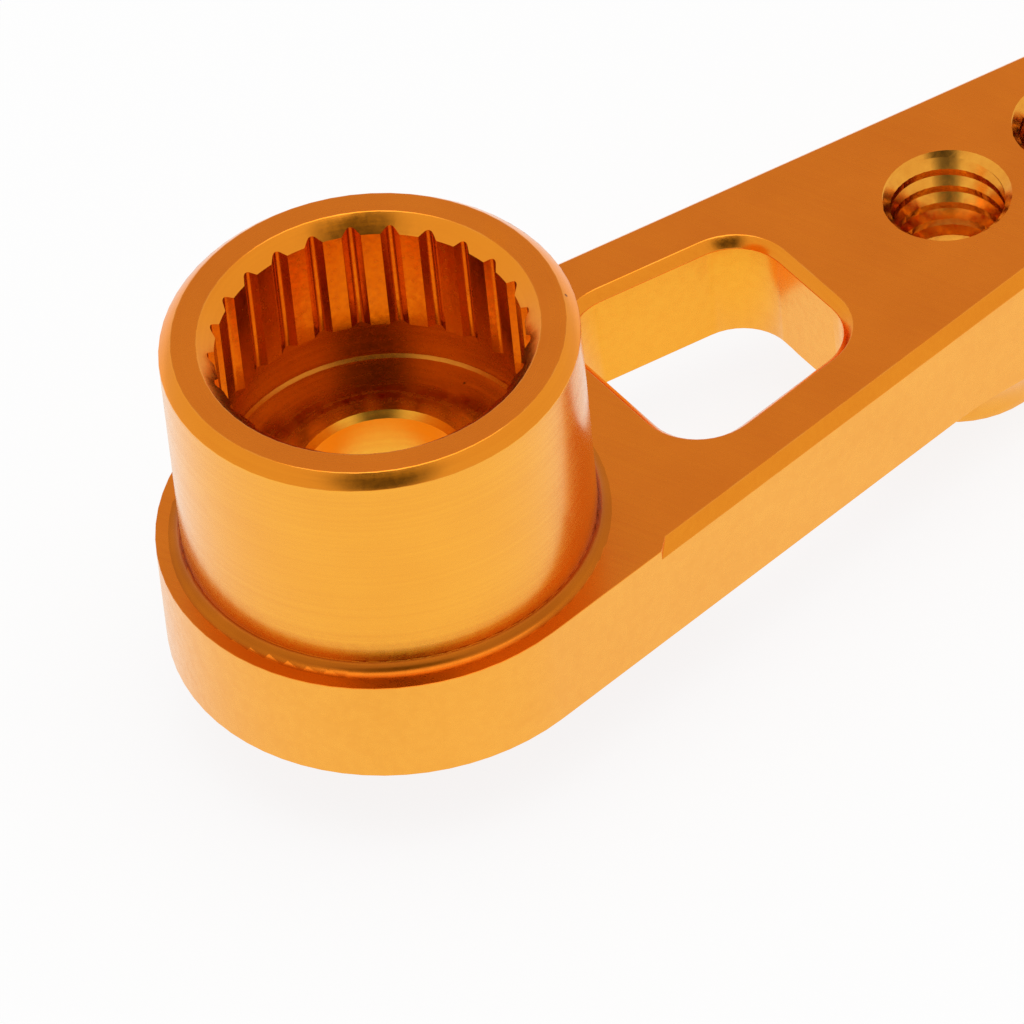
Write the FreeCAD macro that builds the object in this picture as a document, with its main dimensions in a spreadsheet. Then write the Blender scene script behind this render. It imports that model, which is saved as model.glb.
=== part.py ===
import FreeCAD, Part
import Sketcher
import math
import os

# Servo horn turned and milled from one bar of aluminium: a splined socket in a round
# boss, and a tapered arm with a window and a row of tapped holes over a raised pad.
# Lengths are in mm. Z is the servo axis, the arm runs along +X, and Z = 0 is the
# underside of the arm, where the axis meets it.

doc = FreeCAD.newDocument("servo_horn")
sheet = doc.addObject("Spreadsheet::Sheet", "Sizes")
Vector = FreeCAD.Vector
UP = Vector(0, 0, 1)


# Arm: thickness, step outside the boss, taper and the small chamfer along its top edge.
arm_thickness = 2.38
base_step = 0.5
tip_land = 0.33
edge_chamfer = 0.23
collar_reach = 0.83

# Boss, from the spline outwards and from the arm upwards.
boss_wall = 0.93
boss_chamfer = 0.25
boss_foot = 0.25
spline_length = 2.72
relief_height = 1.07
floor_rise = 1.25

# Socket: spline, mouth chamfer, relief under the spline, floor and screw hole.
spline_count = 25
spline_phase = 3.0
root_radius = 3.07
tooth_depth = 0.12
root_round = 0.13
flank_angle = 47.0
mouth_step = 0.195
relief_step = 0.11
floor_break = 0.06
screw_radius = 1.6
screw_break = 0.12

# Window between the boss and the holes.
window_gap = 0.98
window_length = 4.51
window_rail = 1.4
window_corner = 1.1
window_chamfer = 0.19

# Tapped holes, drawn at the thread's crests, and the pad that they run through.
hole_gap = 3.51
hole_spacing = 3.2
hole_count = 3
tap_radius = 1.13
hole_break = 0.14
pad_wall = 0.65
pad_tip_wall = 0.33
pad_foot = 1.8
pad_land = 0.15

sizes = {
    "arm_thickness": arm_thickness,
    "base_step": base_step,
    "tip_land": tip_land,
    "edge_chamfer": edge_chamfer,
    "collar_reach": collar_reach,
    "boss_wall": boss_wall,
    "boss_chamfer": boss_chamfer,
    "boss_foot": boss_foot,
    "spline_length": spline_length,
    "relief_height": relief_height,
    "floor_rise": floor_rise,
    "spline_count": spline_count,
    "spline_phase": spline_phase,
    "root_radius": root_radius,
    "tooth_depth": tooth_depth,
    "root_round": root_round,
    "flank_angle": flank_angle,
    "mouth_step": mouth_step,
    "relief_step": relief_step,
    "floor_break": floor_break,
    "screw_radius": screw_radius,
    "screw_break": screw_break,
    "window_gap": window_gap,
    "window_length": window_length,
    "window_rail": window_rail,
    "window_corner": window_corner,
    "window_chamfer": window_chamfer,
    "hole_gap": hole_gap,
    "hole_spacing": hole_spacing,
    "hole_count": hole_count,
    "tap_radius": tap_radius,
    "hole_break": hole_break,
    "pad_wall": pad_wall,
    "pad_tip_wall": pad_tip_wall,
    "pad_foot": pad_foot,
    "pad_land": pad_land,
}
for row, (name, value) in enumerate(sizes.items(), 1):
    sheet.set("A%d" % row, name)
    sheet.set("B%d" % row, str(value))
    sheet.setAlias("B%d" % row, name)
doc.recompute()

# Sizes that follow from those above, each with the rule that the document keeps it by.
boss_radius = root_radius + boss_wall
base_radius = boss_radius + base_step
collar_radius = base_radius + collar_reach
land_radius = root_radius - tooth_depth
mouth_radius = root_radius + mouth_step
relief_radius = root_radius + relief_step
socket_floor = arm_thickness + floor_rise
spline_end = socket_floor + relief_height
boss_top = spline_end + spline_length
window_near = base_radius + window_gap
window_far = window_near + window_length
window_side = base_radius - window_rail
hole_first = window_far + hole_gap
hole_last = hole_first + (hole_count - 1) * hole_spacing
pad_radius = tap_radius + hole_break + pad_wall
pad_tip_radius = tap_radius + hole_break + pad_tip_wall
tip_radius = pad_tip_radius + tip_land
pad_height = pad_foot + pad_land
taper = math.asin((base_radius - tip_radius) / hole_last)

BOSS_RADIUS = "(Sizes.root_radius + Sizes.boss_wall)"
BASE_RADIUS = "(Sizes.root_radius + Sizes.boss_wall + Sizes.base_step)"
LAND_RADIUS = "(Sizes.root_radius - Sizes.tooth_depth)"
MOUTH_RADIUS = "(Sizes.root_radius + Sizes.mouth_step)"
RELIEF_RADIUS = "(Sizes.root_radius + Sizes.relief_step)"
SOCKET_FLOOR = "(Sizes.arm_thickness + Sizes.floor_rise)"
SPLINE_END = "(%s + Sizes.relief_height)" % SOCKET_FLOOR
BOSS_TOP = "(%s + Sizes.spline_length)" % SPLINE_END
WINDOW_NEAR = "(%s + Sizes.window_gap)" % BASE_RADIUS
WINDOW_FAR = "(%s + Sizes.window_length)" % WINDOW_NEAR
WINDOW_SIDE = "(%s - Sizes.window_rail)" % BASE_RADIUS
HOLE_FIRST = "(%s + Sizes.hole_gap)" % WINDOW_FAR
HOLE_LAST = "(%s + (Sizes.hole_count - 1) * Sizes.hole_spacing)" % HOLE_FIRST
PAD_RADIUS = "(Sizes.tap_radius + Sizes.hole_break + Sizes.pad_wall)"
PAD_TIP_RADIUS = "(Sizes.tap_radius + Sizes.hole_break + Sizes.pad_tip_wall)"
TIP_RADIUS = "(%s + Sizes.tip_land)" % PAD_TIP_RADIUS
TAPER_SINE = "((%s - %s) / %s)" % (BASE_RADIUS, TIP_RADIUS, HOLE_LAST)
TAPER = "asin(%s)" % TAPER_SINE

body = doc.addObject("PartDesign::Body", "Horn")
body.Label = "servo_horn"


def datum(role):
    for item in body.Origin.OriginFeatures:
        if item.Role == role:
            return item


def sketch(name, role="XY_Plane", lift=None):
    made = body.newObject("Sketcher::SketchObject", name)
    made.AttachmentSupport = (datum(role), "")
    made.MapMode = "FlatFace"
    if lift:
        made.setExpression("AttachmentOffset.Base.z", lift)
    return made


def rule(made, index, name, expression):
    made.renameConstraint(index, name)
    made.setExpression("Constraints." + name, expression)


def add(made, kind, *args):
    return made.addConstraint(Sketcher.Constraint(kind, *args))


def arc(made, centre, radius, start, end):
    return made.addGeometry(Part.ArcOfCircle(Part.Circle(centre, UP, radius), start, end), False)


def line(made, start, end):
    return made.addGeometry(Part.LineSegment(start, end), False)


def closed(made, points):
    # Straight segments through the points and back to the first one.
    lines = []
    for here, there in zip(points, points[1:] + points[:1]):
        lines.append(line(made, Vector(*here), Vector(*there)))
    for before, after in zip(lines, lines[1:] + lines[:1]):
        add(made, "Coincident", before, 2, after, 1)
    return lines


def rectangle(made, left, right, half, left_rule, right_rule, half_rule):
    # Sides at the given distances from the origin: left, right, and half in front and behind.
    corners = [(-left, -half), (right, -half), (right, half), (-left, half)]
    front, end, back, start = closed(made, corners)
    add(made, "Horizontal", front)
    add(made, "Vertical", end)
    add(made, "Horizontal", back)
    add(made, "Vertical", start)
    rule(made, add(made, "DistanceX", -1, 1, front, 2, right), "right", right_rule)
    rule(made, add(made, "DistanceX", front, 1, -1, 1, left), "left", left_rule)
    rule(made, add(made, "DistanceY", front, 1, -1, 1, half), "front", half_rule)
    rule(made, add(made, "DistanceY", -1, 1, back, 2, half), "back", half_rule)


def tapered_slot(made, near_x, near_radius, far_x, far_radius, rules):
    # Two round ends joined by their common tangents. The ends lie on the X axis.
    lean = math.asin((near_radius - far_radius) / (far_x - near_x))
    right = math.pi / 2
    near = arc(made, Vector(near_x, 0), near_radius, right - lean, 3 * right + lean)
    far = arc(made, Vector(far_x, 0), far_radius, lean - right, right - lean)
    rise = Vector(math.sin(lean), math.cos(lean))
    fall = Vector(math.sin(lean), -math.cos(lean))
    upper = line(made, Vector(near_x, 0) + rise * near_radius, Vector(far_x, 0) + rise * far_radius)
    lower = line(made, Vector(near_x, 0) + fall * near_radius, Vector(far_x, 0) + fall * far_radius)
    add(made, "Tangent", near, 1, upper, 1)
    add(made, "Tangent", upper, 2, far, 2)
    add(made, "Tangent", near, 2, lower, 1)
    add(made, "Tangent", lower, 2, far, 1)
    add(made, "PointOnObject", far, 3, -1)
    rule(made, add(made, "DistanceX", -1, 1, far, 3, far_x), "far_x", rules["far_x"])
    if near_x == 0:
        add(made, "Coincident", near, 3, -1, 1)
    else:
        add(made, "PointOnObject", near, 3, -1)
        rule(made, add(made, "DistanceX", -1, 1, near, 3, near_x), "near_x", rules["near_x"])
    rule(made, add(made, "Radius", near, near_radius), "near_radius", rules["near_radius"])
    rule(made, add(made, "Radius", far, far_radius), "far_radius", rules["far_radius"])


def feature(kind, name, profile=None):
    made = body.newObject("PartDesign::" + kind, name)
    if profile:
        made.Profile = profile
        profile.Visibility = False
    return made


def edges(source, wanted):
    # Names of the edges of a feature whose every vertex and mid point pass the test.
    names = []
    for number, edge in enumerate(source.Shape.Edges, 1):
        middle = edge.valueAt((edge.FirstParameter + edge.LastParameter) / 2)
        if all(wanted(point) for point in [middle] + [vertex.Point for vertex in edge.Vertexes]):
            names.append("Edge%d" % number)
    return names


def dress(kind, name, source, wanted, rule_text):
    made = feature(kind, name)
    made.Base = (source, edges(source, wanted))
    made.setExpression("Radius" if kind == "Fillet" else "Size", rule_text)
    doc.recompute()
    return made


def near(value, target):
    return abs(value - target) < 1e-4


def spread(point):
    return math.hypot(point.x, point.y)


# Bar stock, larger than the arm all round by the room that the pad's foot takes.
stock_sketch = sketch("StockSketch")
left = base_radius + pad_foot
half = base_radius + pad_foot
right = hole_last + tip_radius + 2 * pad_foot
STOCK_SIDE = "%s + Sizes.pad_foot" % BASE_RADIUS
STOCK_RIGHT = "%s + %s + 2 * Sizes.pad_foot" % (HOLE_LAST, TIP_RADIUS)
rectangle(stock_sketch, left, right, half, STOCK_SIDE, STOCK_RIGHT, STOCK_SIDE)
stock = feature("Pad", "Stock", stock_sketch)
stock.setExpression("Length", "Sizes.arm_thickness")

# Pad under the holes, with a wide foot radius that fades out into the underside.
pad_sketch = sketch("HolePadSketch")
tapered_slot(pad_sketch, hole_first, pad_radius, hole_last, pad_tip_radius,
             {"near_x": HOLE_FIRST, "near_radius": PAD_RADIUS,
              "far_x": HOLE_LAST, "far_radius": PAD_TIP_RADIUS})
hole_pad = feature("Pad", "HolePad", pad_sketch)
hole_pad.Reversed = True
hole_pad.setExpression("Length", "Sizes.pad_foot + Sizes.pad_land")
doc.recompute()

hole_pad_foot = dress("Fillet", "HolePadFoot", hole_pad,
                 lambda point: near(point.z, 0) and abs(point.y) < base_radius
                 and 0 < point.x < right - pad_foot, "Sizes.pad_foot")

# Outline of the arm, milled through the stock and the pad's foot.
outline_sketch = sketch("OutlineSketch", lift="Sizes.arm_thickness")
tapered_slot(outline_sketch, 0, base_radius, hole_last, tip_radius,
             {"near_radius": BASE_RADIUS, "far_x": HOLE_LAST, "far_radius": TIP_RADIUS})
rectangle(outline_sketch, left + pad_foot, right + pad_foot, half + pad_foot,
          STOCK_SIDE + " + Sizes.pad_foot", STOCK_RIGHT + " + Sizes.pad_foot",
          STOCK_SIDE + " + Sizes.pad_foot")
outline = feature("Pocket", "Outline", outline_sketch)
outline.Type = "ThroughAll"
doc.recompute()

arm_edge = dress("Chamfer", "ArmEdge", outline, lambda point: near(point.z, arm_thickness),
                     "Sizes.edge_chamfer")

# Inside the collar circle the edge stays sharp, so the full section comes back there.
collar_sketch = sketch("CollarSketch")
along = math.sqrt(collar_radius ** 2 - base_radius ** 2)
foot = Vector(base_radius * math.sin(taper), base_radius * math.cos(taper))
end = foot + Vector(math.cos(taper), -math.sin(taper)) * along
end_angle = math.atan2(end.y, end.x)
base_arc = arc(collar_sketch, Vector(0, 0), base_radius, math.pi / 2 - taper, 3 * math.pi / 2 + taper)
end_arc = arc(collar_sketch, Vector(0, 0), collar_radius, -end_angle, end_angle)
upper_side = line(collar_sketch, foot, end)
lower_side = line(collar_sketch, Vector(foot.x, -foot.y), Vector(end.x, -end.y))
add(collar_sketch, "Coincident", base_arc, 3, -1, 1)
add(collar_sketch, "Coincident", end_arc, 3, -1, 1)
add(collar_sketch, "Tangent", base_arc, 1, upper_side, 1)
add(collar_sketch, "Tangent", base_arc, 2, lower_side, 1)
add(collar_sketch, "Coincident", upper_side, 2, end_arc, 2)
add(collar_sketch, "Coincident", lower_side, 2, end_arc, 1)
add(collar_sketch, "Symmetric", base_arc, 1, base_arc, 2, -1)
rule(collar_sketch, add(collar_sketch, "Radius", base_arc, base_radius), "base", BASE_RADIUS)
rule(collar_sketch, add(collar_sketch, "Radius", end_arc, collar_radius), "collar",
     BASE_RADIUS + " + Sizes.collar_reach")
rule(collar_sketch, add(collar_sketch, "DistanceX", -1, 1, base_arc, 1, foot.x), "foot_x",
     BASE_RADIUS + " * " + TAPER_SINE)
collar = feature("Pad", "Collar", collar_sketch)
collar.setExpression("Length", "Sizes.arm_thickness")

# Boss over the servo axis, with a small tool radius at its foot.
boss_sketch = sketch("BossSketch", lift="Sizes.arm_thickness")
boss_circle = boss_sketch.addGeometry(Part.Circle(Vector(0, 0), UP, boss_radius), False)
add(boss_sketch, "Coincident", boss_circle, 3, -1, 1)
rule(boss_sketch, add(boss_sketch, "Radius", boss_circle, boss_radius), "radius", BOSS_RADIUS)
boss = feature("Pad", "Boss", boss_sketch)
boss.setExpression("Length", BOSS_TOP + " - Sizes.arm_thickness")
doc.recompute()

boss_root = dress("Fillet", "BossFoot", boss,
                  lambda point: near(point.z, arm_thickness) and near(spread(point), boss_radius),
                  "Sizes.boss_foot")
boss_rim = dress("Chamfer", "BossRim", boss_root,
                 lambda point: near(point.z, boss_top) and near(spread(point), boss_radius),
                 "Sizes.boss_chamfer")

# Socket turned into the boss: mouth chamfer, spline bore, relief, floor and screw hole.
socket_sketch = sketch("SocketSketch", "XZ_Plane")
profile = [
    ("0", 0, BOSS_TOP, boss_top),
    (MOUTH_RADIUS, mouth_radius, BOSS_TOP, boss_top),
    (LAND_RADIUS, land_radius, BOSS_TOP + " - Sizes.mouth_step - Sizes.tooth_depth",
     boss_top - mouth_step - tooth_depth),
    (LAND_RADIUS, land_radius, SPLINE_END, spline_end),
    (RELIEF_RADIUS, relief_radius, SPLINE_END, spline_end),
    (RELIEF_RADIUS, relief_radius, SOCKET_FLOOR + " + Sizes.floor_break", socket_floor + floor_break),
    (RELIEF_RADIUS + " - Sizes.floor_break", relief_radius - floor_break, SOCKET_FLOOR, socket_floor),
    ("Sizes.screw_radius + Sizes.screw_break", screw_radius + screw_break, SOCKET_FLOOR, socket_floor),
    ("Sizes.screw_radius", screw_radius, SOCKET_FLOOR + " - Sizes.screw_break", socket_floor - screw_break),
    ("Sizes.screw_radius", screw_radius, "0", 0),
    ("0", 0, "0", 0),
]
socket_lines = closed(socket_sketch, [(across, height) for _, across, _, height in profile])
for number, (across_rule, across, height_rule, height) in enumerate(profile):
    segment = socket_lines[number]
    if across_rule == "0":
        add(socket_sketch, "PointOnObject", segment, 1, -2)
    else:
        rule(socket_sketch, add(socket_sketch, "DistanceX", -1, 1, segment, 1, across),
             "across_%d" % number, across_rule)
    if height_rule == "0":
        add(socket_sketch, "PointOnObject", segment, 1, -1)
    else:
        rule(socket_sketch, add(socket_sketch, "DistanceY", -1, 1, segment, 1, height),
             "height_%d" % number, height_rule)
socket = feature("Groove", "Socket", socket_sketch)
socket.ReferenceAxis = (socket_sketch, ["V_Axis"])
socket.Angle = 360
doc.recompute()

# One spline groove with a round root and sloped flanks, then the full ring of them.
flank = math.radians(flank_angle)
groove_sketch = sketch("SplineGrooveSketch", lift=BOSS_TOP)
groove_sketch.AttachmentOffset = FreeCAD.Placement(
    Vector(0, 0, boss_top), FreeCAD.Rotation(UP, spline_phase))
groove_sketch.setExpression("AttachmentOffset.Rotation.Angle", "Sizes.spline_phase")
root_centre = root_radius - root_round
inner_x = land_radius - tooth_depth
touch = Vector(root_centre + root_round * math.sin(flank), root_round * math.cos(flank))
inner_y = touch.y + (touch.x - inner_x) * math.tan(flank)
root_arc = arc(groove_sketch, Vector(root_centre, 0), root_round, flank - math.pi / 2, math.pi / 2 - flank)
flank_up = line(groove_sketch, touch, Vector(inner_x, inner_y))
flank_down = line(groove_sketch, Vector(touch.x, -touch.y), Vector(inner_x, -inner_y))
mouth_line = line(groove_sketch, Vector(inner_x, inner_y), Vector(inner_x, -inner_y))
add(groove_sketch, "Tangent", root_arc, 2, flank_up, 1)
add(groove_sketch, "Tangent", root_arc, 1, flank_down, 1)
add(groove_sketch, "Coincident", flank_up, 2, mouth_line, 1)
add(groove_sketch, "Coincident", flank_down, 2, mouth_line, 2)
add(groove_sketch, "PointOnObject", root_arc, 3, -1)
add(groove_sketch, "Symmetric", mouth_line, 1, mouth_line, 2, -1)
rule(groove_sketch, add(groove_sketch, "Radius", root_arc, root_round), "round", "Sizes.root_round")
rule(groove_sketch, add(groove_sketch, "DistanceX", -1, 1, root_arc, 3, root_centre), "centre",
     "Sizes.root_radius - Sizes.root_round")
rule(groove_sketch, add(groove_sketch, "DistanceX", -1, 1, mouth_line, 1, inner_x), "inner",
     LAND_RADIUS + " - Sizes.tooth_depth")
rule(groove_sketch, add(groove_sketch, "DistanceY", -1, 1, mouth_line, 1, inner_y), "width",
     "Sizes.root_round * cos(Sizes.flank_angle)"
     " + (2 * Sizes.tooth_depth - Sizes.root_round + Sizes.root_round * sin(Sizes.flank_angle))"
     " * tan(Sizes.flank_angle)")
groove = feature("Pocket", "SplineGroove", groove_sketch)
groove.setExpression("Length", "Sizes.spline_length")
doc.recompute()

splines = body.newObject("PartDesign::PolarPattern", "Splines")
splines.Originals = [groove]
splines.Axis = (datum("Z_Axis"), [""])
splines.Angle = 360
body.Tip = splines
splines.setExpression("Occurrences", "Sizes.spline_count")
doc.recompute()

# Window through the arm, its sides parallel to the tapered edges.
window_sketch = sketch("WindowSketch", lift="Sizes.arm_thickness")
corner = window_corner


def side_y(x, inset=0.0):
    return (window_side - inset - x * math.sin(taper)) / math.cos(taper)


near_corner = Vector(window_near + corner, side_y(window_near + corner, corner))
far_corner = Vector(window_far - corner, side_y(window_far - corner, corner))
lean_up = Vector(math.sin(taper), math.cos(taper)) * corner
lean_down = Vector(math.sin(taper), -math.cos(taper)) * corner
tilt = math.pi / 2 - taper
near_low = Vector(near_corner.x, -near_corner.y)
far_low = Vector(far_corner.x, -far_corner.y)
arc_nu = arc(window_sketch, near_corner, corner, tilt, math.pi)
arc_nl = arc(window_sketch, near_low, corner, math.pi, 2 * math.pi - tilt)
arc_fl = arc(window_sketch, far_low, corner, -tilt, 0)
arc_fu = arc(window_sketch, far_corner, corner, 0, tilt)
end_near = line(window_sketch, Vector(window_near, near_corner.y), Vector(window_near, near_low.y))
side_low = line(window_sketch, near_low + lean_down, far_low + lean_down)
end_far = line(window_sketch, Vector(window_far, far_low.y), Vector(window_far, far_corner.y))
side_up = line(window_sketch, far_corner + lean_up, near_corner + lean_up)
add(window_sketch, "Tangent", arc_nu, 2, end_near, 1)
add(window_sketch, "Tangent", end_near, 2, arc_nl, 1)
add(window_sketch, "Tangent", arc_nl, 2, side_low, 1)
add(window_sketch, "Tangent", side_low, 2, arc_fl, 1)
add(window_sketch, "Tangent", arc_fl, 2, end_far, 1)
add(window_sketch, "Tangent", end_far, 2, arc_fu, 1)
add(window_sketch, "Tangent", arc_fu, 2, side_up, 1)
add(window_sketch, "Tangent", side_up, 2, arc_nu, 1)
add(window_sketch, "Symmetric", arc_nu, 3, arc_nl, 3, -1)
add(window_sketch, "Symmetric", arc_fu, 3, arc_fl, 3, -1)
add(window_sketch, "Equal", arc_nu, arc_nl)
add(window_sketch, "Equal", arc_nu, arc_fl)
add(window_sketch, "Equal", arc_nu, arc_fu)
rule(window_sketch, add(window_sketch, "Radius", arc_nu, corner), "corner", "Sizes.window_corner")
rule(window_sketch, add(window_sketch, "DistanceX", -1, 1, end_near, 1, window_near), "near_end",
     WINDOW_NEAR)
rule(window_sketch, add(window_sketch, "DistanceX", -1, 1, end_far, 1, window_far), "far_end",
     WINDOW_FAR)
rule(window_sketch, add(window_sketch, "DistanceY", -1, 1, arc_nu, 3, near_corner.y), "near_y",
     "(%s - Sizes.window_corner - (%s + Sizes.window_corner) * %s) / cos(%s)"
     % (WINDOW_SIDE, WINDOW_NEAR, TAPER_SINE, TAPER))
rule(window_sketch, add(window_sketch, "DistanceY", -1, 1, arc_fu, 3, far_corner.y), "far_y",
     "(%s - Sizes.window_corner - (%s - Sizes.window_corner) * %s) / cos(%s)"
     % (WINDOW_SIDE, WINDOW_FAR, TAPER_SINE, TAPER))
window = feature("Pocket", "Window", window_sketch)
window.Type = "ThroughAll"
doc.recompute()

window_edge = dress("Chamfer", "WindowEdge", window,
                    lambda point: near(point.z, arm_thickness)
                    and window_near - 0.01 < point.x < window_far + 0.01
                    and abs(point.y) < side_y(point.x) + 0.01, "Sizes.window_chamfer")

# Tapped holes down the centre line, countersunk at the top and broken at the pad face.
hole_sketch = sketch("HoleSketch", lift="Sizes.arm_thickness")
hole_circle = hole_sketch.addGeometry(Part.Circle(Vector(hole_first, 0), UP, tap_radius), False)
add(hole_sketch, "PointOnObject", hole_circle, 3, -1)
rule(hole_sketch, add(hole_sketch, "DistanceX", -1, 1, hole_circle, 3, hole_first), "along", HOLE_FIRST)
rule(hole_sketch, add(hole_sketch, "Radius", hole_circle, tap_radius), "radius", "Sizes.tap_radius")
hole = feature("Hole", "TappedHole", hole_sketch)
doc.recompute()
hole.ThreadType = "None"
hole.DepthType = "ThroughAll"
hole.DrillPoint = "Flat"
hole.HoleCutType = "Countersink"
hole.HoleCutCustomValues = True
hole.HoleCutCountersinkAngle = 90
hole.setExpression("Diameter", "2 * Sizes.tap_radius")
hole.setExpression("HoleCutDiameter", "2 * (Sizes.tap_radius + Sizes.hole_break)")
doc.recompute()

holes = body.newObject("PartDesign::LinearPattern", "TappedHoles")
holes.Originals = [hole]
holes.Direction = (datum("X_Axis"), [""])
holes.Mode = "Spacing"
body.Tip = holes
holes.setExpression("Offset", "Sizes.hole_spacing")
holes.setExpression("Occurrences", "Sizes.hole_count")
doc.recompute()



def on_hole_rim(point):
    # True on the lower edge of any of the bores.
    for number in range(hole_count):
        if near(math.hypot(point.x - hole_first - number * hole_spacing, point.y), tap_radius):
            return near(point.z, -pad_height)
    return False


hole_break_edge = dress("Chamfer", "HoleBreak", holes, on_hole_rim, "Sizes.hole_break")
body.Tip = hole_break_edge
doc.recompute()

for item in doc.Objects:
    if "Invalid" in item.State or "Error" in item.State:
        raise RuntimeError("%s is not valid: %s" % (item.Name, item.State))
shape = body.Shape
if shape.isNull() or not shape.isValid() or len(shape.Solids) != 1:
    raise RuntimeError("the horn is not one valid solid")

box = shape.BoundBox
print("size %.2f x %.2f x %.2f mm, volume %.1f mm3, faces %d" % (
    box.XLength, box.YLength, box.ZLength, shape.Volume, len(shape.Faces)))

os.makedirs("parts", exist_ok=True)
shape.exportStep("parts/" + body.Label + ".step")
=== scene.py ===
import math

import bmesh
import bpy
from mathutils import Matrix, Vector


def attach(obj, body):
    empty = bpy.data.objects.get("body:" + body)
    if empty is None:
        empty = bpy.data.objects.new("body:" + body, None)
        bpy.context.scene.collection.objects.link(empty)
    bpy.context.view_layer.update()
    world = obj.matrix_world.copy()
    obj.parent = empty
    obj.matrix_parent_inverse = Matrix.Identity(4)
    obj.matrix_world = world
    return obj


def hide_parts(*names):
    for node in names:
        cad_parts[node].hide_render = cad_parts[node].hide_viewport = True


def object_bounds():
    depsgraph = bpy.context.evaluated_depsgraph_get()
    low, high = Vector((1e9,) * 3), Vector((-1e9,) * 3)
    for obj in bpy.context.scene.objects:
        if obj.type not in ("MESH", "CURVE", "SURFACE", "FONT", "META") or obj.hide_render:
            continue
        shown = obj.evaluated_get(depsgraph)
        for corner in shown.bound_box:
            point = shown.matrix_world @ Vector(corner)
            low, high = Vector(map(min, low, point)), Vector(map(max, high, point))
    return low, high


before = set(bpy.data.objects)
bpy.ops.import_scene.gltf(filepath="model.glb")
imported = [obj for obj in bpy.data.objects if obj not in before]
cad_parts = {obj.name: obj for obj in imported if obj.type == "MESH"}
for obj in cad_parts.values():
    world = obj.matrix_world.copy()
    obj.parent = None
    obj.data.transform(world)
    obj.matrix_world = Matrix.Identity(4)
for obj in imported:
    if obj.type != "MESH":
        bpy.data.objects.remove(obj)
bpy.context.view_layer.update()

mm = 0.001


def deselectAll():
    if bpy.context.mode != "OBJECT":
        bpy.ops.object.mode_set(mode="OBJECT")
    bpy.ops.object.select_all(action="DESELECT")


def makeActive(piece):
    deselectAll()
    piece.select_set(True)
    bpy.context.view_layer.objects.active = piece


def pickEdges(piece, wanted):
    # enters edit mode with only the wanted edges selected
    makeActive(piece)
    bpy.ops.object.mode_set(mode="EDIT")
    bpy.ops.mesh.select_mode(type="EDGE")
    bpy.ops.mesh.select_all(action="DESELECT")
    mesh = bmesh.from_edit_mesh(piece.data)
    count = 0
    for edge in mesh.edges:
        if wanted(edge):
            edge.select_set(True)
            count += 1
    bmesh.update_edit_mesh(piece.data)
    return count


# The horn itself: a welded copy of the frame's solid, its edges broken and its holes tapped.
horn = {
    "weld": 0.0001 * mm,
    "flatTurn": math.radians(0.05),     # faces closer than this to one plane are joined
    "smoothAngle": math.radians(28),
    "mouthTop": 7.42 * mm,
    "rimChamfer": 0.25 * mm,
    "bossRadius": 4.0 * mm,
    "footRadius": 4.26 * mm,
    "footTop": 2.64 * mm,
    "baseRadius": 4.5 * mm,
    "armTop": 2.38 * mm,
    "armChamfer": 0.23 * mm,
    "padFace": -1.95 * mm,
    "holes": [13.5 * mm, 16.7 * mm, 19.9 * mm],
    "windowNear": 5.40 * mm,
    "windowFar": 10.07 * mm,
    "windowSide": 3.2 * mm,
    "windowChamfer": 0.19 * mm,
    "socketRadius": 3.2 * mm,           # everything closer to the shaft's axis is the socket's
    "socketFloor": 3.63 * mm,
    "splineEnd": 4.72 * mm,
    "screwRadius": 1.6 * mm,
}

softEdge = {
    "width": 0.016 * mm,
    "steps": 2,
    "leastTurn": math.radians(24),      # an edge that turns less than this stays as it is
    "levels": [
        horn["mouthTop"], horn["mouthTop"] - horn["rimChamfer"],
        horn["armTop"], horn["armTop"] - horn["windowChamfer"], horn["armTop"] - horn["armChamfer"],
        0.0, horn["padFace"],
    ],
    "levelWithin": 0.005 * mm,
    "footFrom": 4.005 * mm,             # the boss's foot fillet and the edges round it stay
    "footTo": 4.49 * mm,
    "clearOfHoles": 1.34 * mm,
}

thread = {
    "pitch": 0.45 * mm,
    "crest": 1.115 * mm,
    "root": 1.29 * mm,
    "upperFlank": 0.22 * mm,            # height of the flank that faces the arm's top
    "lowerFlank": 0.05 * mm,
    "rootFlat": 0.04 * mm,
    "steps": 64,
    "startTurn": math.radians(102),
    "overrun": 0.5 * mm,
    "joinNear": 0.0005 * mm,
    "weld": 0.0001 * mm,
}


def copyOfHorn():
    makeActive(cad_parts["servo_horn"])
    bpy.ops.object.duplicate()
    copy = bpy.context.object
    copy.name = "hornBody"
    copy.data.name = "hornBody"
    copy.parent = None
    for key in list(copy.keys()):
        del copy[key]
    bpy.ops.mesh.customdata_custom_splitnormals_clear()
    bpy.ops.object.mode_set(mode="EDIT")
    bpy.ops.mesh.select_all(action="SELECT")
    bpy.ops.mesh.remove_doubles(threshold=horn["weld"])
    bpy.ops.mesh.dissolve_limited(angle_limit=horn["flatTurn"])
    bpy.ops.mesh.select_all(action="SELECT")
    bpy.ops.mesh.mark_sharp(clear=True)
    bpy.ops.object.mode_set(mode="OBJECT")
    return copy


def isBareEdge(edge):
    # a level corner that a tumbling barrel would round, clear of the socket and the tapped holes
    if len(edge.link_faces) != 2 or edge.calc_face_angle(0) < softEdge["leastTurn"]:
        return False
    first, second = edge.verts[0].co, edge.verts[1].co
    within = softEdge["levelWithin"]
    if abs(first.z - second.z) > within:
        return False
    middle = (first + second) / 2
    radius = math.hypot(middle.x, middle.y)
    if radius < horn["socketRadius"] or softEdge["footFrom"] < radius < softEdge["footTo"]:
        return False
    if not any(abs(middle.z - level) < within for level in softEdge["levels"]):
        return False
    clear = softEdge["clearOfHoles"]
    return all(math.hypot(middle.x - holeX, middle.y) > clear for holeX in horn["holes"])


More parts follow.
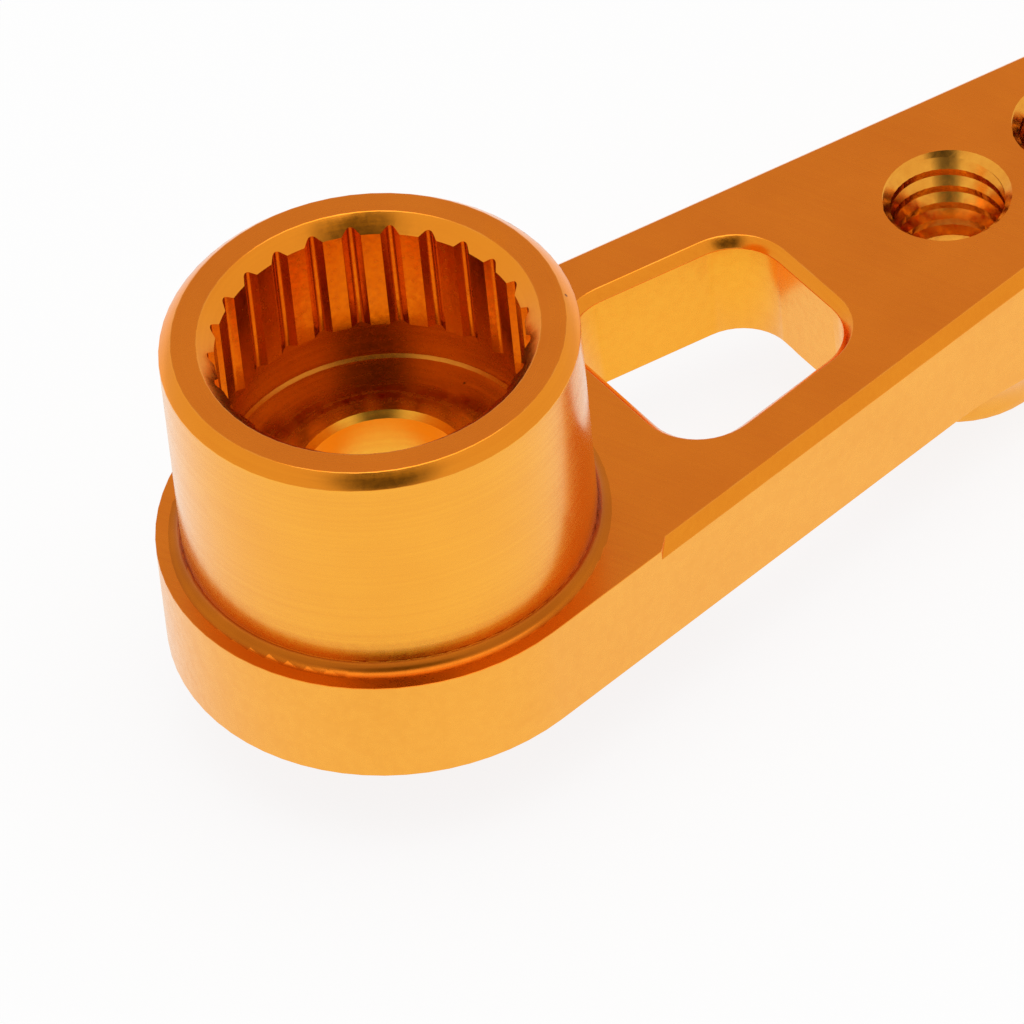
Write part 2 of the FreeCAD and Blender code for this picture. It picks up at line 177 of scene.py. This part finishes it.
def openEdges(piece):
    mesh = bmesh.new()
    mesh.from_mesh(piece.data)
    count = sum(not edge.is_manifold for edge in mesh.edges)
    mesh.free()
    return count


def breakEdges(piece):
    count = pickEdges(piece, isBareEdge)
    bpy.ops.mesh.bevel(offset=softEdge["width"], segments=softEdge["steps"], profile=0.5,
                       clamp_overlap=False)
    bpy.ops.object.mode_set(mode="OBJECT")
    rubbed = piece.data.attributes.new("rubbedEdge", "FLOAT", "FACE")
    for face in piece.data.polygons:
        rubbed.data[face.index].value = float(face.select)
    print("edges broken:", count, "open edges:", openEdges(piece))


def tapFor(holeX):
    # the tap's shape: one vee drawn up the hole's side, then screwed round its axis
    low = horn["padFace"] - thread["overrun"]
    high = horn["armTop"] + thread["overrun"]
    pitch = thread["pitch"]
    crest, root = thread["crest"], thread["root"]
    upper, lower, flat = thread["upperFlank"], thread["lowerFlank"], thread["rootFlat"]
    land = pitch - upper - lower - flat
    deselectAll()
    bpy.ops.mesh.primitive_plane_add(size=mm, location=(0, 0, 0))
    tap = bpy.context.object
    tap.name = "tap"
    bpy.ops.object.mode_set(mode="EDIT")
    bpy.ops.mesh.select_mode(type="VERT")
    bpy.ops.mesh.select_all(action="SELECT")
    bpy.ops.mesh.merge(type="CENTER")
    bpy.ops.transform.translate(value=(crest, 0, low - pitch))
    for step in [(root - crest, 0, upper), (0, 0, flat), (crest - root, 0, lower), (0, 0, land)]:
        bpy.ops.mesh.extrude_vertices_move(TRANSFORM_OT_translate={"value": step})
    bpy.ops.object.mode_set(mode="OBJECT")
    screw = tap.modifiers.new("helix", "SCREW")
    screw.axis = "Z"
    screw.angle = 2 * math.pi
    screw.screw_offset = pitch
    screw.iterations = math.ceil((high - low) / pitch) + 2
    screw.steps = thread["steps"]
    screw.render_steps = thread["steps"]
    screw.use_merge_vertices = True
    screw.merge_threshold = thread["joinNear"]
    screw.use_smooth_shade = False
    bpy.ops.object.modifier_apply(modifier=screw.name)
    bpy.ops.object.mode_set(mode="EDIT")
    bpy.ops.mesh.select_all(action="SELECT")
    bpy.ops.mesh.remove_doubles(threshold=thread["joinNear"])
    for end, keepAbove in [(low, True), (high, False)]:
        bpy.ops.mesh.select_all(action="SELECT")
        bpy.ops.mesh.bisect(plane_co=(0, 0, end), plane_no=(0, 0, 1), use_fill=True,
                            clear_inner=keepAbove, clear_outer=not keepAbove,
                            threshold=thread["weld"])
    bpy.ops.mesh.select_all(action="SELECT")
    bpy.ops.mesh.normals_make_consistent(inside=False)
    bpy.ops.object.mode_set(mode="OBJECT")
    tap.rotation_euler = (0, 0, thread["startTurn"])
    tap.location = (holeX, 0, 0)
    bpy.ops.object.transform_apply(location=True, rotation=True, scale=True)
    return tap


def cleanCut(piece):
    # slivers left where the tap runs out through a rim
    makeActive(piece)
    bpy.ops.object.mode_set(mode="EDIT")
    bpy.ops.mesh.select_mode(type="VERT")
    bpy.ops.mesh.select_all(action="SELECT")
    bpy.ops.mesh.remove_doubles(threshold=thread["joinNear"])
    bpy.ops.mesh.select_all(action="SELECT")
    bpy.ops.mesh.dissolve_degenerate(threshold=thread["weld"])
    bpy.ops.object.mode_set(mode="OBJECT")


def cutThreads(piece):
    for holeX in horn["holes"]:
        tap = tapFor(holeX)
        makeActive(piece)
        cut = piece.modifiers.new("tapped", "BOOLEAN")
        cut.operation = "DIFFERENCE"
        cut.solver = "EXACT"
        cut.object = tap
        bpy.ops.object.modifier_apply(modifier=cut.name)
        bpy.data.objects.remove(tap, do_unlink=True)
        cleanCut(piece)
        print("hole tapped at", round(holeX / mm, 2), "open edges:", openEdges(piece))


def settleNormals(piece):
    # the large faces stay flat, and the broken edges take up the turn between them
    makeActive(piece)
    bpy.ops.object.shade_smooth_by_angle(angle=horn["smoothAngle"])
    weighted = piece.modifiers.new("flatFaces", "WEIGHTED_NORMAL")
    weighted.mode = "FACE_AREA"
    weighted.weight = 100
    weighted.keep_sharp = True
    bpy.ops.object.modifier_apply(modifier=weighted.name)


body = copyOfHorn()
breakEdges(body)
cutThreads(body)
settleNormals(body)
print("horn body done:", len(body.data.polygons), "faces")


# What every finish shares. A range is the stretch of a noise that is used, from none to full.
anodising = {
    "perMillimetre": 1000,
    "oxideRoughness": 0.18,
    "oxideIndex": 1.6,
    "patchScale": 0.55, "patchDetail": 4, "patchRange": (0.35, 0.65), "patchShare": 0.55,
    "grainDetail": 2, "grainRange": (0.3, 0.7), "grainShare": 0.45,
    "mottleScale": 9, "mottleDetail": 2, "mottleRelief": 0.5,
    "speckScale": 1.15,
    "speckRadius": 0.055,
    "speckCore": 0.6,            # share of its radius in which a speck is full
    "speckShare": 0.90,          # cells of the speck pattern below this share stay clean
    "speckStrength": 0.8,
    "speckDull": 0.25,
    "speckColour": (0.16, 0.035, 0.006, 1),
    "rubbedScale": 2.2, "rubbedDetail": 3, "rubbedRange": (0.40, 0.62), "rubbedLeast": 0.2,
    "rubbedShare": 0.15,
    "rubbedShine": 0.1,
    "rubbedColour": (1.0, 0.50, 0.10, 1),
    "dullByGrain": 0.6, "dullByMottle": 0.4, "dullRange": (0.35, 0.65),
}

# Every finish is the same orange anodising over metal that was cut in its own way: grain says
# how the tool ran, in strokes across the arm, in rings round the shaft or in no direction.
# Their colours are lit and shaded copies of that one orange, painted light and shade by the way
# a face points: darker on the level tops and rims, lighter on the sides, walls and threads.
finishesWithPaintedLight = {
    # painted shade: the level tops and undersides get a darker copy of the orange than the sides
    "milledTop": {
        "colour": (0.73, 0.182, 0.0040, 1), "deep": (0.66, 0.154, 0.0020, 1),
        "grain": "strokes", "turn": math.radians(68), "fine": 14, "coarse": 0.7,
        "smooth": 0.24, "rough": 0.34, "depth": 0.0008 * mm, "oxide": 0.15,
    },
    # painted shade: the rim takes the same darker copy as the tops
    "turnedRim": {
        "colour": (0.73, 0.182, 0.0040, 1), "deep": (0.66, 0.154, 0.0020, 1),
        "grain": "rings", "fine": 12, "coarse": 0.8,
        "smooth": 0.22, "rough": 0.34, "depth": 0.0006 * mm, "oxide": 0.15,
    },
    # painted shade: the hollow at the boss's foot gets a darker copy of the orange than the tops
    "footHollowPaintedShade": {
        "colour": (0.60, 0.150, 0.0030, 1), "deep": (0.46, 0.105, 0.0020, 1),
        "grain": "rings", "fine": 12, "coarse": 0.8,
        "smooth": 0.22, "rough": 0.34, "depth": 0.0008 * mm, "oxide": 0.10,
    },
    "chamfer": {
        "colour": (0.96, 0.310, 0.012, 1), "deep": (0.90, 0.270, 0.008, 1),
        "grain": "rings", "fine": 12, "coarse": 0.8,
        "smooth": 0.16, "rough": 0.26, "depth": 0.0006 * mm, "oxide": 0.20,
    },
    # painted light: the boss's wall gets a lighter copy of the orange, like the sides
    "turnedWall": {
        "colour": (0.99, 0.43, 0.018, 1), "deep": (0.95, 0.39, 0.013, 1),
        "grain": "rings", "fine": 12, "coarse": 0.5,
        "smooth": 0.22, "rough": 0.32, "depth": 0.0008 * mm, "oxide": 0.50,
    },
    # painted light: the sides get a lighter copy of the orange than the tops
    "satinSide": {
        "colour": (0.99, 0.44, 0.040, 1), "deep": (0.95, 0.40, 0.030, 1),
        "grain": "none", "turn": 0, "fine": 5, "coarse": 5,
        "smooth": 0.24, "rough": 0.34, "depth": 0.0008 * mm, "oxide": 0.35,
    },
    # painted light: the window's walls get a lighter copy of the orange, like the sides
    "windowWall": {
        "colour": (1.0, 0.44, 0.030, 1), "deep": (0.97, 0.40, 0.022, 1),
        "grain": "none", "turn": 0, "fine": 5, "coarse": 5,
        "smooth": 0.22, "rough": 0.30, "depth": 0.0006 * mm, "oxide": 0.10,
    },
    "splineTeeth": {
        "colour": (0.88, 0.360, 0.030, 1), "deep": (0.76, 0.250, 0.015, 1),
        "grain": "none", "turn": 0, "fine": 8, "coarse": 8,
        "smooth": 0.14, "rough": 0.28, "depth": 0.0012 * mm, "oxide": 0.15,
    },
    # painted shade: the socket's walls get a darker, redder copy of the orange, for the shade deep
    # inside
    "boredSocketPaintedShade": {
        "colour": (0.74, 0.240, 0.016, 1), "deep": (0.58, 0.150, 0.008, 1),
        "grain": "rings", "fine": 8, "coarse": 1.2,
        "smooth": 0.16, "rough": 0.32, "depth": 0.0012 * mm, "oxide": 0.10,
    },
    # painted light: the screw hole under the socket gets a lighter copy of the orange, for light
    # coming up through it from the floor
    "screwHolePaintedLight": {
        "colour": (1.0, 0.47, 0.035, 1), "deep": (0.98, 0.43, 0.025, 1),
        "grain": "rings", "fine": 8, "coarse": 1.2,
        "smooth": 0.16, "rough": 0.24, "depth": 0.0006 * mm, "oxide": 0.20,
    },
    # painted light: the threads get a lighter copy of the orange, like the sides
    "tappedThread": {
        "colour": (0.98, 0.42, 0.040, 1), "deep": (0.86, 0.310, 0.022, 1),
        "grain": "none", "turn": 0, "fine": 6, "coarse": 6,
        "smooth": 0.10, "rough": 0.22, "depth": 0.0008 * mm, "oxide": 0.20,
    },
}


class Wiring:
    # short ways to add nodes to one material
    def __init__(self, tree):
        self.nodes = tree.nodes
        self.links = tree.links

    def join(self, source, target):
        self.links.new(source, target)

    def feed(self, value, target):
        # a plain value is set on the socket, and another node's output is linked to it
        if isinstance(value, (int, float, tuple)):
            target.default_value = value
        else:
            self.join(value, target)

    def math(self, operation, first, second=None):
        node = self.nodes.new("ShaderNodeMath")
        node.operation = operation
        self.feed(first, node.inputs[0])
        if second is not None:
            self.feed(second, node.inputs[1])
        return node.outputs[0]

    def spread(self, value, used, toLow, toHigh):
        node = self.nodes.new("ShaderNodeMapRange")
        node.inputs["From Min"].default_value, node.inputs["From Max"].default_value = used
        node.inputs["To Min"].default_value = toLow
        node.inputs["To Max"].default_value = toHigh
        self.join(value, node.inputs["Value"])
        return node.outputs["Result"]

    def mixColour(self, share, first, second):
        node = self.nodes.new("ShaderNodeMix")
        node.data_type = "RGBA"
        self.feed(share, node.inputs["Factor"])
        self.feed(first, node.inputs["A"])
        self.feed(second, node.inputs["B"])
        return node.outputs["Result"]

    def noise(self, vector, scale, detail):
        node = self.nodes.new("ShaderNodeTexNoise")
        node.inputs["Scale"].default_value = scale
        node.inputs["Detail"].default_value = detail
        self.join(vector, node.inputs["Vector"])
        return node.outputs["Fac"]


def ringVector(wire, place, finish):
    # round the shaft: the noise is long in angle, and fine in radius and height
    parts = wire.nodes.new("ShaderNodeSeparateXYZ")
    wire.join(place, parts.inputs[0])
    x, y, z = parts.outputs
    squares = wire.math("ADD", wire.math("MULTIPLY", x, x), wire.math("MULTIPLY", y, y))
    radius = wire.math("SQRT", squares)
    around = wire.math("ARCTAN2", y, x)
    ring = wire.nodes.new("ShaderNodeCombineXYZ")
    wire.join(wire.math("MULTIPLY", radius, finish["fine"]), ring.inputs["X"])
    wire.join(wire.math("MULTIPLY", around, finish["coarse"]), ring.inputs["Y"])
    wire.join(wire.math("MULTIPLY", z, finish["fine"]), ring.inputs["Z"])
    return ring.outputs[0]


def grainVector(wire, place, finish):
    # place in millimetres, stretched so that the noise runs the way the cutter did
    if finish["grain"] == "rings":
        return ringVector(wire, place, finish)
    turn = wire.nodes.new("ShaderNodeMapping")
    turn.inputs["Rotation"].default_value = (0, 0, finish["turn"])
    wire.join(place, turn.inputs["Vector"])
    stretch = wire.nodes.new("ShaderNodeVectorMath")
    stretch.operation = "MULTIPLY"
    stretch.inputs[1].default_value = (finish["coarse"], finish["fine"], finish["fine"])
    wire.join(turn.outputs[0], stretch.inputs[0])
    return stretch.outputs[0]


def millimetres(wire):
    coords = wire.nodes.new("ShaderNodeTexCoord")
    grow = wire.nodes.new("ShaderNodeVectorMath")
    grow.operation = "SCALE"
    grow.inputs["Scale"].default_value = anodising["perMillimetre"]
    wire.join(coords.outputs["Object"], grow.inputs[0])
    return grow.outputs[0]


def specks(wire, place):
    # small dark specks where grit sat under the dye: 1 in a speck, 0 elsewhere
    cells = wire.nodes.new("ShaderNodeTexVoronoi")
    cells.inputs["Scale"].default_value = anodising["speckScale"]
    wire.join(place, cells.inputs["Vector"])
    chosen = wire.nodes.new("ShaderNodeSeparateColor")
    wire.join(cells.outputs["Color"], chosen.inputs[0])
    isSpeck = wire.math("GREATER_THAN", chosen.outputs[0], anodising["speckShare"])
    radius = anodising["speckRadius"]
    core = radius * anodising["speckCore"]
    near = wire.spread(cells.outputs["Distance"], (core, radius), 1, 0)
    return wire.math("MULTIPLY", isSpeck, near)


def rubbedCorners(wire, place):
    # the broken edges, rubbed thin in places
    edge = wire.nodes.new("ShaderNodeAttribute")
    edge.attribute_name = "rubbedEdge"
    where = wire.noise(place, anodising["rubbedScale"], anodising["rubbedDetail"])
    rubbed = wire.spread(where, anodising["rubbedRange"], anodising["rubbedLeast"], 1)
    worn = wire.math("MULTIPLY", edge.outputs["Fac"], rubbed)
    return wire.math("MULTIPLY", worn, anodising["rubbedShare"])


def anodised(name):
    finish = finishesWithPaintedLight[name]
    made = bpy.data.materials.new(name)
    made.use_nodes = True
    wire = Wiring(made.node_tree)
    shader = wire.nodes["Principled BSDF"]
    shader.inputs["Metallic"].default_value = 1.0
    shader.inputs["Coat Weight"].default_value = finish["oxide"]
    shader.inputs["Coat Roughness"].default_value = anodising["oxideRoughness"]
    shader.inputs["Coat IOR"].default_value = anodising["oxideIndex"]

    place = millimetres(wire)
    patches = wire.noise(place, anodising["patchScale"], anodising["patchDetail"])
    mottle = wire.noise(place, anodising["mottleScale"], anodising["mottleDetail"])
    grain = wire.noise(grainVector(wire, place, finish), 1, anodising["grainDetail"])
    speck = specks(wire, place)
    worn = rubbedCorners(wire, place)

    # colour: the finish's lit or shaded copy of the orange, which is painted light and shade, and
    # on it the dye taking unevenly in patches and along the tool marks
    byPatch = wire.spread(patches, anodising["patchRange"], 0, anodising["patchShare"])
    byGrain = wire.spread(grain, anodising["grainRange"], 0, anodising["grainShare"])
    colour = wire.mixColour(wire.math("ADD", byPatch, byGrain), finish["colour"], finish["deep"])
    speckShade = wire.math("MULTIPLY", speck, anodising["speckStrength"])
    colour = wire.mixColour(speckShade, colour, anodising["speckColour"])
    colour = wire.mixColour(worn, colour, anodising["rubbedColour"])
    wire.join(colour, shader.inputs["Base Color"])

    # roughness: the grain's hollows are duller, and rubbed corners shine
    dull = wire.math("ADD", wire.math("MULTIPLY", grain, anodising["dullByGrain"]),
                     wire.math("MULTIPLY", mottle, anodising["dullByMottle"]))
    roughness = wire.spread(dull, anodising["dullRange"], finish["smooth"], finish["rough"])
    speckRough = wire.math("MULTIPLY", speck, anodising["speckDull"])
    roughness = wire.math("ADD", roughness, speckRough)
    shine = wire.math("MULTIPLY", worn, anodising["rubbedShine"])
    wire.join(wire.math("SUBTRACT", roughness, shine), shader.inputs["Roughness"])

    # relief: tool marks with a little blasted texture in them, and the specks' pits
    blasted = wire.math("MULTIPLY", mottle, anodising["mottleRelief"])
    relief = wire.math("SUBTRACT", wire.math("ADD", grain, blasted), speck)
    bump = wire.nodes.new("ShaderNodeBump")
    bump.inputs["Strength"].default_value = 1.0
    bump.inputs["Distance"].default_value = finish["depth"]
    wire.join(relief, bump.inputs["Height"])
    wire.join(bump.outputs["Normal"], shader.inputs["Normal"])
    return made


# How far a face's normal rises, and how near a face lies to a height, for it to count as one.
facing = {
    "level": 0.85,
    "slope": 0.3,
    "hollow": 0.12,
    "holeWall": 0.95,            # a hole's wall and its slanting rims rise less than this
    "rimDepth": 0.5 * mm,
    "screwRim": 0.2 * mm,
    "floorClear": 0.01 * mm,
    "undersideClear": 0.02 * mm,
    "armClear": 0.001 * mm,
}


def finishOfSocket(radius, z, up):
    # the screw hole's wall takes the copy with painted light
    if radius < horn["screwRadius"] + facing["screwRim"] \
            and z < horn["socketFloor"] + facing["floorClear"] and abs(up) < facing["holeWall"]:
        return "screwHolePaintedLight"
    if radius < horn["socketRadius"] and z > horn["splineEnd"]:
        return "splineTeeth"
    # below the splines the socket's walls take the copy with painted shade
    if radius < horn["socketRadius"] and z > facing["undersideClear"]:
        return "boredSocketPaintedShade"
    return None


def finishOf(face):
    # which cut made this face, by its place and the way it looks; this also picks the lit or shaded
    # copy of the orange that paints light and shade into its colour
    x, y, z = face.center
    up = face.normal.z
    radius = math.hypot(x, y)
    tapReach = thread["root"] + thread["weld"]
    if abs(up) < facing["holeWall"] and any(math.hypot(x - holeX, y) < tapReach
                                            for holeX in horn["holes"]):
        return "tappedThread"
    if radius < horn["bossRadius"] and z > horn["mouthTop"] - facing["rimDepth"]:
        if facing["slope"] < up < facing["level"]:
            return "chamfer"
        if up > facing["level"]:
            return "turnedRim"
    inSocket = finishOfSocket(radius, z, up)
    if inSocket:
        return inSocket
    if radius < horn["footRadius"] and z > horn["armTop"] + facing["armClear"]:
        # the hollow at the foot takes the copy with painted shade
        isHollow = up > facing["hollow"] and z < horn["footTop"]
        return "footHollowPaintedShade" if isHollow else "turnedWall"
    if abs(up) > facing["level"]:
        return "milledTop"
    if up > facing["slope"]:
        return "chamfer"
    if horn["windowNear"] < x < horn["windowFar"] and abs(y) < horn["windowSide"]:
        return "windowWall"
    return "satinSide"


def dress(piece):
    piece.data.materials.clear()
    order = list(finishesWithPaintedLight)
    for name in order:
        piece.data.materials.append(anodised(name))
    counts = dict.fromkeys(order, 0)
    for face in piece.data.polygons:
        name = finishOf(face)
        face.material_index = order.index(name)
        counts[name] += 1
    print("finishes:", counts)


dress(body)
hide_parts("servo_horn")
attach(body, "root")


# Floor, backdrop and lamp: a white table under an even, slightly dimmer room.
stage = {
    "floorSize": 4.0,
    "floorTone": 0.95,
    "whiteShare": 0.86,          # how far the floor is lifted to pure white where it is seen
    "roomLevel": 0.82,
    "lensTowards": Vector((-0.378, -0.596, 0.708)),     # a dark spot of the room, at the lens
    "lensLevel": 0.08,
    "lensInner": math.cos(math.radians(5)),
    "lensOuter": math.cos(math.radians(27)),
}

overhead = {
    "place": Vector((0.02, -0.05, 0.60)),
    "aim": Vector((0.005, 0, 0)),
    "size": 0.50,
    "power": 0.9,
}


def seenAsWhite(wire):
    # 1 for rays that show the background: straight to the camera, or mirrored in the metal
    path = wire.nodes.new("ShaderNodeLightPath")
    either = wire.math("MAXIMUM", path.outputs["Is Camera Ray"], path.outputs["Is Glossy Ray"])
    return wire.math("MAXIMUM", either, path.outputs["Is Transmission Ray"])


def paperFloor():
    made = bpy.data.materials.new("paperFloor")
    made.use_nodes = True
    wire = Wiring(made.node_tree)
    wire.nodes.remove(wire.nodes["Principled BSDF"])
    matt = wire.nodes.new("ShaderNodeBsdfDiffuse")
    tone = stage["floorTone"]
    matt.inputs["Color"].default_value = (tone, tone, tone, 1)
    glow = wire.nodes.new("ShaderNodeEmission")
    both = wire.nodes.new("ShaderNodeMixShader")
    lifted = wire.math("MULTIPLY", seenAsWhite(wire), stage["whiteShare"])
    wire.join(lifted, both.inputs["Fac"])
    wire.join(matt.outputs[0], both.inputs[1])
    wire.join(glow.outputs[0], both.inputs[2])
    wire.join(both.outputs[0], wire.nodes["Material Output"].inputs["Surface"])
    return made


def layFloor():
    low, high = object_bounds()
    deselectAll()
    bpy.ops.mesh.primitive_plane_add(size=stage["floorSize"], location=(0, 0, low.z))
    floor = bpy.context.object
    floor.name = "floor"
    bpy.ops.object.transform_apply(location=True)
    floor.data.materials.append(paperFloor())


def lightRoom():
    world = bpy.data.worlds.new("studio")
    bpy.context.scene.world = world
    world.use_nodes = True
    wire = Wiring(world.node_tree)
    sky = wire.nodes["Background"]
    sky.inputs["Color"].default_value = (1, 1, 1, 1)
    coords = wire.nodes.new("ShaderNodeTexCoord")
    towards = wire.nodes.new("ShaderNodeVectorMath")
    towards.operation = "DOT_PRODUCT"
    towards.inputs[1].default_value = stage["lensTowards"].normalized()
    wire.join(coords.outputs["Generated"], towards.inputs[0])
    room = wire.nodes.new("ShaderNodeMapRange")
    room.interpolation_type = "SMOOTHSTEP"
    room.inputs["From Min"].default_value = stage["lensOuter"]
    room.inputs["From Max"].default_value = stage["lensInner"]
    room.inputs["To Min"].default_value = stage["roomLevel"]
    room.inputs["To Max"].default_value = stage["lensLevel"]
    wire.join(towards.outputs["Value"], room.inputs["Value"])
    path = wire.nodes.new("ShaderNodeLightPath")
    level = wire.nodes.new("ShaderNodeMix")
    level.data_type = "FLOAT"
    level.inputs["B"].default_value = 1.0       # the camera sees the backdrop as white
    wire.join(room.outputs["Result"], level.inputs["A"])
    wire.join(path.outputs["Is Camera Ray"], level.inputs["Factor"])
    wire.join(level.outputs["Result"], sky.inputs["Strength"])


def hangLamp():
    bpy.ops.object.light_add(type="AREA", location=overhead["place"])
    light = bpy.context.object
    light.name = "overheadLamp"
    light.data.size = overhead["size"]
    light.data.energy = overhead["power"]
    towards = overhead["aim"] - overhead["place"]
    light.rotation_euler = towards.to_track_quat("-Z", "Y").to_euler()
    light.visible_camera = False


layFloor()
lightRoom()
hangLamp()
print("stage done")


# The camera stands at the photograph's angle, over the shaft's axis.
shot = {
    "bearing": math.radians(-122.398),
    "elevation": math.radians(45.092),
    "roll": math.radians(-6.060),
    "distance": 267.8 * mm,
    "lens": 493.4,
    "sensor": 36,
    "aimSide": 2.333 * mm,
    "aimUp": 0.124 * mm,
    "reference": Vector((0, 0, 2.4 * mm)),
    "nearest": 0.01,
    "farthest": 10,
}


def standCamera():
    bearing, elevation, roll = shot["bearing"], shot["elevation"], shot["roll"]
    flat = math.cos(elevation)
    back = Vector((math.cos(bearing) * flat, math.sin(bearing) * flat, math.sin(elevation)))
    level = Vector((-math.sin(bearing), math.cos(bearing), 0))
    rise = back.cross(level)
    across = math.cos(roll) * level + math.sin(roll) * rise
    upward = math.cos(roll) * rise - math.sin(roll) * level
    aim = shot["reference"] + across * shot["aimSide"] + upward * shot["aimUp"]
    place = aim + back * shot["distance"]
    bpy.ops.object.camera_add(location=place)
    camera = bpy.context.object
    turned = Matrix((across, upward, back)).transposed().to_4x4()
    camera.matrix_world = Matrix.Translation(place) @ turned
    camera.data.lens = shot["lens"]
    camera.data.sensor_width = shot["sensor"]
    camera.data.clip_start = shot["nearest"]
    camera.data.clip_end = shot["farthest"]
    bpy.context.scene.camera = camera
    bpy.context.scene.view_settings.view_transform = "Standard"


standCamera()
print("camera done")
